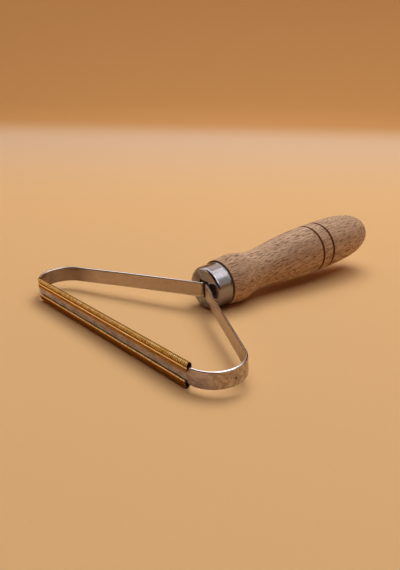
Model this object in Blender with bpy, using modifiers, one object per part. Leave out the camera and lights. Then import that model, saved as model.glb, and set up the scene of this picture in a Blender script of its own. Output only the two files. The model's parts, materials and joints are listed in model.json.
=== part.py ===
"""A hand lint scraper: a steel strap bent to a triangle, a ribbed brass strip folded over each edge of its
front side, a polished ferrule and a turned wooden handle.

Metres, +Z up. It lies on a table as it really rests: on the lower brass strip and the handle's shoulder,
with its origin on the table under the middle of its box. +Y runs from the head to the handle's end.
"""

import math

import bmesh
import bpy
from mathutils import Vector
from mathutils.geometry import interpolate_bezier

MM = 0.001
GAP = 0.3 * MM

# Steel strap, measured on the mid-line of its thickness where nothing else is said
HEAD_WIDTH = 140.0 * MM
HEAD_REACH = 56.7 * MM
STRAP_WIDTH = 7.8 * MM
STRAP_THICKNESS = 1.2 * MM
STRAP_EDGE_ROUND = 0.4 * MM
CORNER_RADIUS = 12.4 * MM
TANG_BEND_RADIUS = 1.8 * MM
TANG_BEND_AHEAD = 0.95 * MM
TANG_LENGTH = 30.0 * MM

# Brass strips, from the hollow between the strap's edge and each fold to the flared lip
STRIP_SHEET = 0.32 * MM
UPPER_HOLLOW = 1.40 * MM
LOWER_HOLLOW = 1.93 * MM
STRIP_LEG = 0.63 * MM
LIP_STEP = 0.5 * MM
LIP_FLARE = 0.2 * MM
LIP_HEIGHT = 1.5 * MM
STRIP_END_MARGIN = 0.2 * MM

# Ferrule
FERRULE_RADIUS = 10.8 * MM
FERRULE_LENGTH = 8.9 * MM
FERRULE_WALL = 0.7 * MM
FERRULE_FRONT_WALL = 0.9 * MM
FERRULE_FRONT_ROUND = 1.1 * MM
FERRULE_REAR_ROUND = 0.25 * MM
SLOT_SIDE_CLEARANCE = 1.85 * MM
SLOT_END_CLEARANCE = 0.4 * MM

# Handle, from the face that meets the ferrule to its far end
RIM_STEP = 0.5 * MM
RIM_ROUND = 0.35 * MM
FACE_TO_SHOULDER = 9.7 * MM
SHOULDER_RADIUS = 12.3 * MM
SHOULDER_TO_WAIST = 14.6 * MM
WAIST_RADIUS = 10.1 * MM
WAIST_TO_BULGE = 47.8 * MM
BULGE_RADIUS = 13.2 * MM
BULGE_TO_END = 40.6 * MM
GROOVE_BEFORE_BULGE = 7.0 * MM
GROOVE_SPACING = 8.1 * MM
GROOVE_WIDTH = 1.1 * MM
GROOVE_DEPTH = 0.4 * MM
GROOVE_MARGIN = 0.1 * MM

# How full the handle's curves are at each place, as a share of the stretch behind or ahead of it
BULGE_PULL_BACK = 0.46
BULGE_PULL_AHEAD = 0.63
WAIST_PULL_BACK = 0.17
WAIST_PULL_AHEAD = 0.48
SHOULDER_PULL = 0.31

# Hardened adhesive round the tangs, in the handle's bore
ADHESIVE_WALL = 0.8 * MM
ADHESIVE_BEHIND_TANGS = 2.0 * MM
ADHESIVE_BELOW_MOUTH = 0.6 * MM

# How finely round shapes are cut
TURNED_STEPS = 48
CURVE_STEPS = 14
END_STEPS = 18
RIM_STEPS = 5
CORNER_STEPS = 22
BEND_STEPS = 6
EDGE_STEPS = 2
CROWN_STEPS = 12
GROOVE_STEPS = 4
FERRULE_FRONT_STEPS = 8
SMALL_ROUND_STEPS = 4
SHARP_ANGLE = math.radians(60.0)
MERGE_DISTANCE = 0.00001

# Fits that follow from the sizes above
TANG_X = (STRAP_THICKNESS + GAP) / 2
TANG_OUTER = TANG_X + STRAP_THICKNESS / 2
TANG_END = HEAD_REACH + TANG_LENGTH
STRAIGHT_HALF = HEAD_WIDTH / 2 - STRAP_THICKNESS / 2 - CORNER_RADIUS
CROWN_RADIUS = STRAP_THICKNESS / 2 + GAP + STRIP_SHEET / 2
CROWN_HEIGHT = STRAP_WIDTH / 2 + UPPER_HOLLOW + STRIP_SHEET / 2 - CROWN_RADIUS
LOWER_STRIP_DROP = LOWER_HOLLOW - UPPER_HOLLOW
LEG_END = CROWN_HEIGHT - STRIP_LEG
LIP_TOP = LEG_END - LIP_STEP
LIP_END = LIP_TOP - LIP_HEIGHT
FERRULE_INNER = FERRULE_RADIUS - FERRULE_WALL
FERRULE_INNER_ROUND = max(FERRULE_FRONT_ROUND - FERRULE_WALL, FERRULE_REAR_ROUND)
HANDLE_FACE = HEAD_REACH + FERRULE_LENGTH + GAP
SPIGOT_RADIUS = FERRULE_INNER - GAP
SPIGOT_LENGTH = FERRULE_LENGTH - FERRULE_FRONT_WALL
RIM_RADIUS = FERRULE_RADIUS + RIM_STEP
WAIST_AT = FACE_TO_SHOULDER + SHOULDER_TO_WAIST
BULGE_AT = WAIST_AT + WAIST_TO_BULGE
HANDLE_LENGTH = BULGE_AT + BULGE_TO_END
POCKET_X = TANG_OUTER + GAP
POCKET_Z = STRAP_WIDTH / 2 + GAP
ADHESIVE_RADIUS = math.hypot(POCKET_X, POCKET_Z) + ADHESIVE_WALL
ADHESIVE_END = TANG_END + GAP + ADHESIVE_BEHIND_TANGS
BORE_RADIUS = ADHESIVE_RADIUS + GAP
BORE_END = ADHESIVE_END + GAP


def clear_scene():
    """Removes every object of the scene that the script starts in."""
    for thing in list(bpy.data.objects):
        bpy.data.objects.remove(thing, do_unlink=True)


def new_collection(name):
    """Makes a collection and links it to the scene."""
    collection = bpy.data.collections.new(name)
    bpy.context.scene.collection.children.link(collection)
    return collection


def finish(name, colour, metallic, roughness):
    """Makes a Principled material."""
    material = bpy.data.materials.new(name)
    material.use_nodes = True
    shader = material.node_tree.nodes["Principled BSDF"]
    shader.inputs["Base Color"].default_value = (*colour, 1.0)
    shader.inputs["Metallic"].default_value = metallic
    shader.inputs["Roughness"].default_value = roughness
    return material


def add_object(name, mesh, collection, parent=None, material=None):
    """Makes an object of a mesh, in a collection, under a parent."""
    thing = bpy.data.objects.new(name, mesh)
    thing.parent = parent
    collection.objects.link(thing)
    if material:
        mesh.materials.append(material)
    return thing


def line_mesh(name, points):
    """Makes a mesh that is one open run of edges."""
    mesh = bpy.data.meshes.new(name)
    mesh.from_pydata(points, [(i, i + 1) for i in range(len(points) - 1)], [])
    return mesh


def ribbon_mesh(name, points, along):
    """Sweeps an open run of points along a vector into one strip of faces."""
    form = bmesh.new()
    near = [form.verts.new(p) for p in points]
    far = [form.verts.new(Vector(p) + along) for p in points]
    for i in range(len(points) - 1):
        form.faces.new((near[i], near[i + 1], far[i + 1], far[i]))
    mesh = bpy.data.meshes.new(name)
    form.to_mesh(mesh)
    form.free()
    mesh.shade_smooth()
    return mesh


def thicken(thing, name, thickness):
    """Gives an open surface its thickness, half on each side."""
    solid = thing.modifiers.new(name, "SOLIDIFY")
    solid.thickness = thickness
    solid.offset = 0.0
    solid.use_even_offset = True


def turned(name, profile, place, collection, parent, material):
    """Turns a profile of (radius, distance) points, whose axis then lies along +Y."""
    points = [(radius, 0.0, distance) for radius, distance in profile]
    thing = add_object(name, line_mesh(name, points), collection, parent, material)
    thing.location = (0.0, place, 0.0)
    thing.rotation_euler = (math.radians(-90.0), 0.0, 0.0)
    screw = thing.modifiers.new("turn", "SCREW")
    screw.steps = screw.render_steps = TURNED_STEPS
    screw.use_merge_vertices = True
    screw.merge_threshold = MERGE_DISTANCE
    screw.use_smooth_shade = True
    return thing


def box_cutter(name, low, high, collection, parent):
    """Makes a box that only cuts, between two corners."""
    form = bmesh.new()
    bmesh.ops.create_cube(form, size=1.0)
    size = Vector(high) - Vector(low)
    middle = (Vector(high) + Vector(low)) / 2
    bmesh.ops.scale(form, vec=size, verts=form.verts)
    bmesh.ops.translate(form, vec=middle, verts=form.verts)
    mesh = bpy.data.meshes.new(name)
    form.to_mesh(mesh)
    form.free()
    cutter = add_object(name, mesh, collection, parent)
    cutter.hide_render = True
    cutter.display_type = "WIRE"
    return cutter


def cut(thing, cutter):
    """Cuts one object with another."""
    boolean = thing.modifiers.new("cut", "BOOLEAN")
    boolean.operation = "DIFFERENCE"
    boolean.object = cutter


def arc(centre, radius, start, end, steps):
    """Points on an arc about a centre, angles in radians."""
    angles = [start + (end - start) * i / steps for i in range(steps + 1)]
    return [(centre[0] + radius * math.cos(a), centre[1] + radius * math.sin(a)) for a in angles]


def curve_run(start, start_pull, end, end_pull, steps):
    """Points of one Bezier stretch in a plane, its handles given as offsets from its ends."""
    first, last = Vector(start), Vector(end)
    points = interpolate_bezier(first, first + Vector(start_pull), last + Vector(end_pull), last, steps + 1)
    return [(p.x, p.y) for p in points]


def strap_half_path():
    """Mid-line of the strap's right half in plan: front centre, corner, arm, bend and tang."""
    corner = Vector((STRAIGHT_HALF, CORNER_RADIUS))
    meet = Vector((TANG_X, HEAD_REACH - TANG_BEND_AHEAD))
    reach = meet - corner
    leaving = math.atan2(reach.y, reach.x) - math.acos(CORNER_RADIUS / reach.length)
    bend_end = meet.y + TANG_BEND_RADIUS * math.tan(leaving / 2)
    path = [(0.0, 0.0)]
    path += arc(corner, CORNER_RADIUS, -math.pi / 2, leaving, CORNER_STEPS)
    bend_centre = (TANG_X + TANG_BEND_RADIUS, bend_end)
    path += arc(bend_centre, TANG_BEND_RADIUS, math.pi + leaving, math.pi, BEND_STEPS)
    path.append((TANG_X, TANG_END))
    return path


def make_strap(collection, parent, material):
    """The strap: half a ribbon on its mid-line, mirrored, thickened and rounded along its edges."""
    points = [(x, y, -STRAP_WIDTH / 2) for x, y in strap_half_path()]
    mesh = ribbon_mesh("frame_strap", points, Vector((0.0, 0.0, STRAP_WIDTH)))
    strap = add_object("frame_strap", mesh, collection, parent, material)
    mirror = strap.modifiers.new("other half", "MIRROR")
    mirror.merge_threshold = MERGE_DISTANCE
    thicken(strap, "thickness", STRAP_THICKNESS)
    edge = strap.modifiers.new("rolled edges", "BEVEL")
    edge.width = STRAP_EDGE_ROUND
    edge.segments = EDGE_STEPS
    edge.limit_method = "ANGLE"
    edge.angle_limit = SHARP_ANGLE
    return strap


def strip_section():
    """Mid-line of the upper brass strip's section, from the front lip over the crown to the back lip."""
    lip_out = CROWN_RADIUS + LIP_FLARE
    front = [(-lip_out, LIP_END), (-lip_out, LIP_TOP), (-CROWN_RADIUS, LEG_END)]
    crown = arc((0.0, CROWN_HEIGHT), CROWN_RADIUS, math.pi, 0.0, CROWN_STEPS)
    back = [(-y, z) for y, z in reversed(front)]
    return front + crown + back


def make_strips(collection, parent, material):
    """The two brass strips share one folded mesh; the lower one is turned half round and sits less deep."""
    half = STRAIGHT_HALF - STRIP_END_MARGIN
    points = [(-half, y, z) for y, z in strip_section()]
    mesh = ribbon_mesh("brass_strip", points, Vector((2 * half, 0.0, 0.0)))
    mesh.materials.append(material)
    strips = []
    for name, turn, drop in (("upper_strip", 0.0, 0.0), ("lower_strip", math.pi, LOWER_STRIP_DROP)):
        strip = add_object(name, mesh, collection, parent)
        strip.rotation_euler.x = turn
        strip.location.z = -drop
        thicken(strip, "sheet", STRIP_SHEET)
        strips.append(strip)
    return strips


def make_ferrule(collection, cutters, parent, material):
    """The ferrule: a turned cup, open towards the handle, with a slot for the tangs in its face."""
    front = FERRULE_FRONT_ROUND
    rear = FERRULE_REAR_ROUND
    inner = FERRULE_INNER_ROUND
    floor = FERRULE_FRONT_WALL
    profile = arc((FERRULE_RADIUS - rear, FERRULE_LENGTH - rear), rear, math.pi / 2, 0.0, SMALL_ROUND_STEPS)
    profile += arc((FERRULE_RADIUS - front, front), front, 0.0, -math.pi / 2, FERRULE_FRONT_STEPS)
    profile += [(0.0, 0.0), (0.0, floor)]
    profile += arc((FERRULE_INNER - inner, floor + inner), inner, -math.pi / 2, 0.0, SMALL_ROUND_STEPS)
    profile += [(FERRULE_INNER, FERRULE_LENGTH), profile[0]]
    ferrule = turned("ferrule", profile, HEAD_REACH, collection, parent, material)
    slot_x = TANG_OUTER + SLOT_SIDE_CLEARANCE
    slot_z = STRAP_WIDTH / 2 + SLOT_END_CLEARANCE
    low = (-slot_x, HEAD_REACH - floor, -slot_z)
    high = (slot_x, HEAD_REACH + 2 * floor, slot_z)
    cut(ferrule, box_cutter("slot_cutter", low, high, cutters, parent))
    return ferrule


def handle_outline():
    """The handle's turned outer line as (radius, distance), from its far end to its front rim."""
    end = (0.0, HANDLE_LENGTH)
    bulge = (BULGE_RADIUS, BULGE_AT)
    waist = (WAIST_RADIUS, WAIST_AT)
    shoulder = (SHOULDER_RADIUS, FACE_TO_SHOULDER)
    rim = (RIM_RADIUS + RIM_ROUND, 2 * RIM_ROUND)
    behind_bulge = (0.0, BULGE_PULL_BACK * BULGE_TO_END)
    ahead_of_bulge = (0.0, -BULGE_PULL_AHEAD * WAIST_TO_BULGE)
    behind_waist = (0.0, WAIST_PULL_BACK * WAIST_TO_BULGE)
    ahead_of_waist = (0.0, -WAIST_PULL_AHEAD * SHOULDER_TO_WAIST)
    behind_shoulder = (0.0, SHOULDER_PULL * SHOULDER_TO_WAIST)
    ahead_of_shoulder = (0.0, -SHOULDER_PULL * FACE_TO_SHOULDER)
    behind_rim = (0.0, SHOULDER_PULL * FACE_TO_SHOULDER)
    line = curve_run(end, (BULGE_RADIUS, 0.0), bulge, behind_bulge, END_STEPS)
    line += curve_run(bulge, ahead_of_bulge, waist, behind_waist, CURVE_STEPS)[1:]
    line += curve_run(waist, ahead_of_waist, shoulder, behind_shoulder, CURVE_STEPS)[1:]
    line += curve_run(shoulder, ahead_of_shoulder, rim, behind_rim, RIM_STEPS)[1:]
    line += [(RIM_RADIUS + RIM_ROUND / 2, RIM_ROUND / 2), (RIM_RADIUS, 0.0)]
    return line


def radius_at(line, distance):
    """The outline's radius at a distance, between its points."""
    for (r0, d0), (r1, d1) in zip(line, line[1:]):
        if d1 <= distance <= d0:
            return r0 + (r1 - r0) * (d0 - distance) / (d0 - d1)
    return 0.0


def with_grooves(line):
    """Cuts the two thin half-round grooves into the outline, the one nearer the end first."""
    half = GROOVE_WIDTH / 2
    reach = half + GROOVE_MARGIN
    first = BULGE_AT - GROOVE_BEFORE_BULGE
    for centre in (first + GROOVE_SPACING, first):
        notch = []
        for side, depth in arc((0.0, 0.0), 1.0, 0.0, math.pi, GROOVE_STEPS):
            place = centre + side * half
            notch.append((radius_at(line, place) - depth * GROOVE_DEPTH, place))
        before = [p for p in line if p[1] > centre + reach]
        after = [p for p in line if p[1] < centre - reach]
        line = before + notch + after
    return line


def make_handle(collection, parent, material):
    """The handle: one turned profile, with its grooves, its front spigot and its blind bore."""
    spigot_front = -SPIGOT_LENGTH
    bore_end = BORE_END - HANDLE_FACE
    chamfer = FERRULE_INNER_ROUND
    profile = with_grooves(handle_outline())
    profile += [
        (SPIGOT_RADIUS, 0.0),
        (SPIGOT_RADIUS, spigot_front + chamfer),
        (SPIGOT_RADIUS - chamfer, spigot_front),
        (BORE_RADIUS, spigot_front),
        (BORE_RADIUS, bore_end),
        (0.0, bore_end),
    ]
    return turned("handle", profile, HANDLE_FACE, collection, parent, material)


def make_adhesive(collection, cutters, parent, material):
    """The hardened adhesive: a plug in the bore with a pocket for the two tangs."""
    front = HANDLE_FACE - SPIGOT_LENGTH + ADHESIVE_BELOW_MOUTH
    length = ADHESIVE_END - front
    profile = [(0.0, length), (ADHESIVE_RADIUS, length), (ADHESIVE_RADIUS, 0.0), (0.0, 0.0)]
    plug = turned("bore_adhesive", profile, front, collection, parent, material)
    low = (-POCKET_X, front - ADHESIVE_BELOW_MOUTH, -POCKET_Z)
    high = (POCKET_X, TANG_END + GAP, POCKET_Z)
    cut(plug, box_cutter("pocket_cutter", low, high, cutters, parent))
    return plug


def resting_tilt():
    """The angle at which the lower strip's crown and the handle both touch the table."""
    crown = CROWN_RADIUS + STRIP_SHEET / 2
    tilt = 0.0
    for radius, distance in handle_outline():
        along = HANDLE_FACE + distance
        drop = radius - CROWN_HEIGHT - LOWER_STRIP_DROP
        angle = math.atan2(drop, along) - math.asin(crown / math.hypot(along, drop))
        tilt = max(tilt, angle)
    return tilt


def set_on_table(parent, pieces):
    """Moves the whole part so that the middle of its box's underside is at the origin."""
    bpy.context.view_layer.update()
    graph = bpy.context.evaluated_depsgraph_get()
    corners = []
    for piece in pieces:
        shape = piece.evaluated_get(graph)
        corners += [shape.matrix_world @ vertex.co for vertex in shape.data.vertices]
    low = [min(c[i] for c in corners) for i in range(3)]
    high = [max(c[i] for c in corners) for i in range(3)]
    parent.location.x -= (low[0] + high[0]) / 2
    parent.location.y -= (low[1] + high[1]) / 2
    parent.location.z -= low[2]
    bpy.context.view_layer.update()


def build():
    """Makes the whole lint scraper."""
    clear_scene()
    parts = new_collection("lint_scraper")
    cutters = new_collection("cutters")
    resting = bpy.data.objects.new("resting_pose", None)
    parts.objects.link(resting)
    resting.rotation_euler.x = resting_tilt()

    steel = finish("stainless_steel", (0.60, 0.57, 0.54), 1.0, 0.28)
    polished = finish("polished_steel", (0.66, 0.65, 0.64), 1.0, 0.12)
    brass = finish("aged_brass", (0.56, 0.36, 0.13), 1.0, 0.36)
    beech = finish("beech_wood", (0.47, 0.31, 0.20), 0.0, 0.62)
    resin = finish("hardened_adhesive", (0.70, 0.62, 0.42), 0.0, 0.45)

    pieces = [
        make_handle(parts, resting, beech),
        make_ferrule(parts, cutters, resting, polished),
        make_strap(parts, resting, steel),
        *make_strips(parts, resting, brass),
        make_adhesive(parts, cutters, resting, resin),
    ]
    set_on_table(resting, pieces)


build()
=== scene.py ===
"""The looks of the lint scraper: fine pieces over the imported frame, their finishes, the setting.

Every piece is made in the head's own frame, which is tilted as the tool rests: X along the head,
Y from the strap's mid-line at the front along the handle, Z across the strap. Metres.
"""

import json
import math

import bpy
from mathutils import Matrix, Vector, noise
from mathutils.geometry import interpolate_bezier


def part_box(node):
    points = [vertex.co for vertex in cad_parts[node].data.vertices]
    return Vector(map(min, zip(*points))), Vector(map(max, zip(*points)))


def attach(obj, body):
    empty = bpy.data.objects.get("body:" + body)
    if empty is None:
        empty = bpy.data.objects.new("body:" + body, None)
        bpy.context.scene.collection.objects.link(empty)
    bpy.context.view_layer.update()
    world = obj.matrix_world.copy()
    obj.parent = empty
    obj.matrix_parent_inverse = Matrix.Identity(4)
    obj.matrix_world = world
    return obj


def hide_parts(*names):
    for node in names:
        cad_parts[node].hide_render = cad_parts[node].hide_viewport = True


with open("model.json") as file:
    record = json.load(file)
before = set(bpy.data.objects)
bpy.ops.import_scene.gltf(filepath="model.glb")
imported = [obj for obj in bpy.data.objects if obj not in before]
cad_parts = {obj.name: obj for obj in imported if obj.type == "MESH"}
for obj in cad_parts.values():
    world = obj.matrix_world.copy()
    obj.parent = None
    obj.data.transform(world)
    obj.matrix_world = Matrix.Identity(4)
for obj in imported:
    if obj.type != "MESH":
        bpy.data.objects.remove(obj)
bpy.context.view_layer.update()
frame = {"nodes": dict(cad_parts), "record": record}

MM = 0.001
GAP = 0.3 * MM
SHARP_ANGLE = math.radians(40.0)

# Strap, as in the solids, its long edges rounder
HEAD_WIDTH = 140.0 * MM
HEAD_REACH = 56.7 * MM
STRAP_WIDTH = 7.8 * MM
STRAP_THICKNESS = 1.2 * MM
STRAP_EDGE_ROUND = 0.57 * MM
CORNER_RADIUS = 12.4 * MM
TANG_BEND_RADIUS = 1.8 * MM
TANG_BEND_AHEAD = 0.95 * MM
TANG_LENGTH = 30.0 * MM
TANG_X = (STRAP_THICKNESS + GAP) / 2
STRAIGHT_HALF = HEAD_WIDTH / 2 - STRAP_THICKNESS / 2 - CORNER_RADIUS

# How the strap sits in the photo: the arms sag towards the ferrule, the right tang stands aside
ARM_SAG = 0.5 * MM
SAG_FROM, SAG_TO = 34.0 * MM, 56.0 * MM
RIGHT_TANG_OFF = 1.6 * MM
OFF_FROM, OFF_TO = 47.5 * MM, 52.0 * MM
BACK_FROM, BACK_TO = 59.0 * MM, 64.0 * MM

# In the finish, heights on the strap's outer face are raised by this, and on its inner face lowered
SIDES_APART = 20.0

# Brass strips, as in the solids, with their own ends and with curled lips
STRIP_SHEET = 0.32 * MM
UPPER_HOLLOW = 1.40 * MM
LOWER_HOLLOW = 1.93 * MM
STRIP_LEG = 0.63 * MM
LIP_STEP = 0.5 * MM
LIP_FLARE = 0.2 * MM
LIP_HEIGHT = 1.5 * MM
LIP_CURL = 0.13 * MM
CURL_HEIGHT = 0.35 * MM
CROWN_RADIUS = STRAP_THICKNESS / 2 + GAP + STRIP_SHEET / 2
CROWN_HEIGHT = STRAP_WIDTH / 2 + UPPER_HOLLOW + STRIP_SHEET / 2 - CROWN_RADIUS
LOWER_STRIP_DROP = LOWER_HOLLOW - UPPER_HOLLOW
LEG_END = CROWN_HEIGHT - STRIP_LEG
LIP_TOP = LEG_END - LIP_STEP
LIP_END = LIP_TOP - LIP_HEIGHT
FOLD_ROUND = 0.16 * MM
FOLD_STRETCH = 2.2
UPPER_ENDS = (-58.5 * MM, 57.0 * MM)
LOWER_ENDS = (-58.2 * MM, 55.6 * MM)
LOWER_LIFT = 0.45 * MM

# The strips' ribs and wavy lips, and how long the waves of their unevenness are
RIB_PITCH = 1.0 * MM
RIB_DEPTH = 0.11 * MM
RIB_FADE = 0.2 * MM
RIB_FULLNESS = 0.8
RIB_DRIFT = 0.14
DRIFT_LENGTH = 1.7 * MM
MEAN_DEPTH, DEPTH_SWING = 0.8, 0.25
DEPTH_LENGTH = 2.3 * MM
LIP_SWAY = 0.11 * MM
LONG_SWAY = 7 * MM
SHORT_SWAY = 2.2 * MM

# Where in the noise each strip, and each kind of unevenness, is read
UPPER_SEED, LOWER_SEED = 2.0, 9.0
DRIFT_SEED, DEPTH_SEED, LONG_SEED, SHORT_SEED = 3.7, 1.0, 5.0, 8.0

# Ferrule, as in the solids, with a rounder front edge and a bead at its rear edge
FERRULE_RADIUS = 10.8 * MM
FERRULE_LENGTH = 8.9 * MM
FERRULE_WALL = 0.7 * MM
FERRULE_FRONT_WALL = 0.9 * MM
FERRULE_FRONT_ROUND = 1.6 * MM
FERRULE_BEAD = 0.28 * MM
FERRULE_BEAD_BACK = 0.2 * MM
BEAD_FOOT = 0.03 * MM
BEAD_FOOT_FROM, BEAD_FOOT_TO = 3.2 * FERRULE_BEAD, 2.5 * FERRULE_BEAD
BEAD_START = 0.7
FERRULE_SEAT = 0.15 * MM
FERRULE_INNER = FERRULE_RADIUS - FERRULE_WALL
FERRULE_INNER_ROUND = 0.4 * MM
SLOT_SIDE_CLEARANCE = 1.85 * MM
SLOT_END_CLEARANCE = 0.4 * MM
SLOT_HALF_WIDTH = TANG_X + STRAP_THICKNESS / 2 + SLOT_SIDE_CLEARANCE
SLOT_HALF_HEIGHT = STRAP_WIDTH / 2 + SLOT_END_CLEARANCE
SLOT_EDGE_ROUND = 0.12 * MM

# Handle, as in the solids, its grooves' edges softer
HANDLE_FACE = HEAD_REACH + FERRULE_LENGTH + GAP
RIM_STEP = 0.5 * MM
RIM_RADIUS = FERRULE_RADIUS + RIM_STEP
RIM_ROUND = 0.35 * MM
FACE_TO_SHOULDER = 9.7 * MM
SHOULDER_RADIUS = 12.3 * MM
SHOULDER_TO_WAIST = 14.6 * MM
WAIST_RADIUS = 10.1 * MM
WAIST_TO_BULGE = 47.8 * MM
BULGE_RADIUS = 13.2 * MM
BULGE_TO_END = 40.6 * MM
WAIST_AT = FACE_TO_SHOULDER + SHOULDER_TO_WAIST
BULGE_AT = WAIST_AT + WAIST_TO_BULGE
HANDLE_LENGTH = BULGE_AT + BULGE_TO_END
GROOVE_BEHIND_BULGE = 1.1 * MM
GROOVE_BEFORE_BULGE = 7.0 * MM
GROOVES_AT = (BULGE_AT + GROOVE_BEHIND_BULGE, BULGE_AT - GROOVE_BEFORE_BULGE)
GROOVE_WIDTH = 1.1 * MM
GROOVE_DEPTH = 0.4 * MM
SPIGOT_RADIUS = FERRULE_INNER - GAP
SPIGOT_LENGTH = FERRULE_LENGTH - FERRULE_FRONT_WALL
BORE_RADIUS = 5.6125 * MM
BORE_BEHIND_TANGS = 2.6 * MM
BORE_END = HEAD_REACH + TANG_LENGTH + BORE_BEHIND_TANGS
BULGE_PULL_BACK = 0.46
BULGE_PULL_AHEAD = 0.63
WAIST_PULL_BACK = 0.17
WAIST_PULL_AHEAD = 0.48
SHOULDER_PULL = 0.31

# The grooves' soft edges: reach and drop in halves of a groove's width, and in reaches the room round them
GROOVE_REACH = 1.5
GROOVE_EDGE = 0.72
GROOVE_CLEAR = 1.04

# How uneven the handle's turned skin is, and over which stretches
HANDLE_WOBBLE = 0.1 * MM
WOBBLE_TURNS = 1.3
WOBBLE_LENGTH = 16 * MM

# Dark spots in the wood: where, and how far they reach, in millimetres of the head's frame
WOOD_SPOTS = (
    ((2.42, 76.6, 12.0), (0.45, 1.5, 0.45)),
    ((11.57, 109.17, -3.1), (0.5, 0.6, 0.5)),
    ((10.53, 96.64, -0.78), (0.35, 0.45, 0.35)),
)

# A dark pit in the strap's right corner, in millimetres of the head's frame
STRAP_PIT = (70.0, 11.5, -0.4)

# The paper's colour, and painted tints for how light falls on it farther behind the tool: from how far
# behind each comes in, over which stretch
PAPER_COLOUR = (0.73, 0.45, 0.196)
FAR_PAPER_PAINTED_LIGHT, FAR_FROM = (0.655, 0.45, 0.285), (0.38, 0.23)
FARTHEST_PAPER_PAINTED_SHADE, FARTHEST_FROM = (0.52, 0.26, 0.085), (0.69, 0.13)
PAPER_FIBRE = (0.55, 0.33, 0.15)

# The direction in which the paper rises, and the cosines from it where the rise starts and is full
PAPER_RISES = math.radians(140.0)
RISE_FROM, RISE_TO = -0.45, 0.0

# How wide the paper lies flat, and how it curves up
FLAT_RINGS = (0.0, 0.2, 0.5, 0.8)
FLAT_REACH = 1.05
PAPER_CURVE = 0.5
CURVE_END = -math.pi / 14
PAPER_LEAN = 0.05
PAPER_TOP = 1.0

# Lamps: name, azimuth and elevation in degrees, distance, size, watts and colour
LIGHTING_LAMPS = (
    ("key_softbox", 125.0, 58.0, 1.5, (0.75, 0.75), 6.6, (1.0, 0.985, 0.97)),
    ("broad_softbox", 100.0, 77.0, 1.8, (2.35, 2.15), 29.2, (1.0, 0.985, 0.97)),
)
METAL_LAMPS = (
    ("key_reflection", 66.0, 51.0, 1.1, (0.52, 0.5), 1.85, (0.94, 0.97, 1.0)),
    ("side_reflection", 104.0, 56.0, 1.1, (0.2, 0.5), 0.75, (0.97, 0.96, 0.97)),
    ("backdrop_reflection", 131.0, 41.0, 1.2, (0.6, 0.5), 1.1, (1.0, 0.83, 0.74)),
    ("overhead_reflection", 180.0, 80.0, 1.1, (1.15, 1.8), 11.2, (1.0, 0.98, 0.97)),
    ("right_reflection", -2.0, 51.0, 1.1, (0.95, 0.9), 5.2, (1.0, 0.98, 0.97)),
    ("left_reflection", -155.0, 33.0, 1.3, (0.9, 0.5), 1.0, (1.0, 0.93, 0.80)),
    ("front_reflection", -140.0, 13.0, 1.3, (0.9, 0.35), 0.9, (1.0, 0.93, 0.82)),
    ("low_reflection", 35.0, 33.0, 1.1, (1.1, 0.75), 1.25, (0.90, 0.96, 1.0)),
)

# The dark room round the paper: what it adds to the light, and how it shows in metal
ROOM_GLOW = (0.045, 0.004, 0.0)
ROOM_IN_METAL = (0.026, 0.014, 0.008)

# How finely round shapes are cut
AROUND_HANDLE = 128
AROUND_FERRULE = 160
AROUND_PAPER = 96
PAPER_CURVE_STEPS = 18
END_STEPS = 40
BULGE_STEPS = 36
WAIST_STEPS = 20
SHOULDER_STEPS = 14
GROOVE_STEPS = 16
SMALL_ROUND_STEPS = 5
SLOT_EDGE_STEPS = 4
FERRULE_FRONT_STEPS = 16
BEAD_STEPS = 9
FRONT_STEPS = 20
CORNER_STEPS = 56
ARM_STEPS = 70
BEND_STEPS = 16
TANG_STEPS = 6
EDGE_STEPS = 8
CROWN_STEPS = 16
FOLD_STEPS = 3
STEPS_PER_RIB = 7

# Camera, in the head's frame: where it stands, how it looks and how much it takes in
CAMERA_AT = Vector((221.53, -128.47, 126.07)) * MM
CAMERA_AZIMUTH = math.radians(50.51)
CAMERA_ELEVATION = math.radians(23.25)
CAMERA_ROLL = math.radians(-2.73)
CAMERA_LENS = 58.41


def head_place():
    """The head's frame in the tool's: its tilt from a mount's normal, its origin between the strips."""
    axis = Vector(frame["record"]["mounts"][0]["axis"])
    tilt = math.atan2(-axis.z, -axis.y)
    upper_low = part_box("upper_strip")[0]
    lower_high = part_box("lower_strip")[1]
    middle = (upper_low + lower_high) / 2
    turned = Matrix.Rotation(tilt, 4, "X")
    raised = Matrix.Translation((0.0, 0.0, LOWER_STRIP_DROP / 2))
    return Matrix.Translation(middle) @ turned @ raised


HEAD = head_place()


# Shapes


def arc(centre, radius, start, end, steps):
    """Points on an arc about a centre, angles in radians."""
    angles = [start + (end - start) * i / steps for i in range(steps + 1)]
    return [(centre[0] + radius * math.cos(a), centre[1] + radius * math.sin(a)) for a in angles]


def curve_run(start, start_pull, end, end_pull, steps):
    """Points of one Bezier stretch in a plane, its handles given as offsets from its ends."""
    first, last = Vector(start), Vector(end)
    pulls = (first + Vector(start_pull), last + Vector(end_pull))
    points = interpolate_bezier(first, *pulls, last, steps + 1)
    return [(p.x, p.y) for p in points]


def wander(*place):
    """A smooth random value from about -1 to 1, the same at each run."""
    return noise.noise(Vector(place))


def add_piece(name, points, faces, node, finish):
    """Makes a piece of the tool from points in the head's frame, to stand for a node of the solids."""
    mesh = bpy.data.meshes.new(name)
    mesh.from_pydata(points, [], faces)
    mesh.validate()
    mesh.transform(HEAD)
    mesh.shade_smooth()
    mesh.set_sharp_from_angle(angle=SHARP_ANGLE)
    mesh.materials.append(finish)
    piece = bpy.data.objects.new(name, mesh)
    bpy.context.scene.collection.objects.link(piece)
    even = piece.modifiers.new("flats_stay_flat", "WEIGHTED_NORMAL")
    even.keep_sharp = True
    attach(piece, "root")
    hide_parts(node)
    return piece


def add_values(piece, name, values):
    """Stores one number per point on a piece, for its finish."""
    layer = piece.data.attributes.new(name, "FLOAT", "POINT")
    layer.data.foreach_set("value", values)


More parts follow.
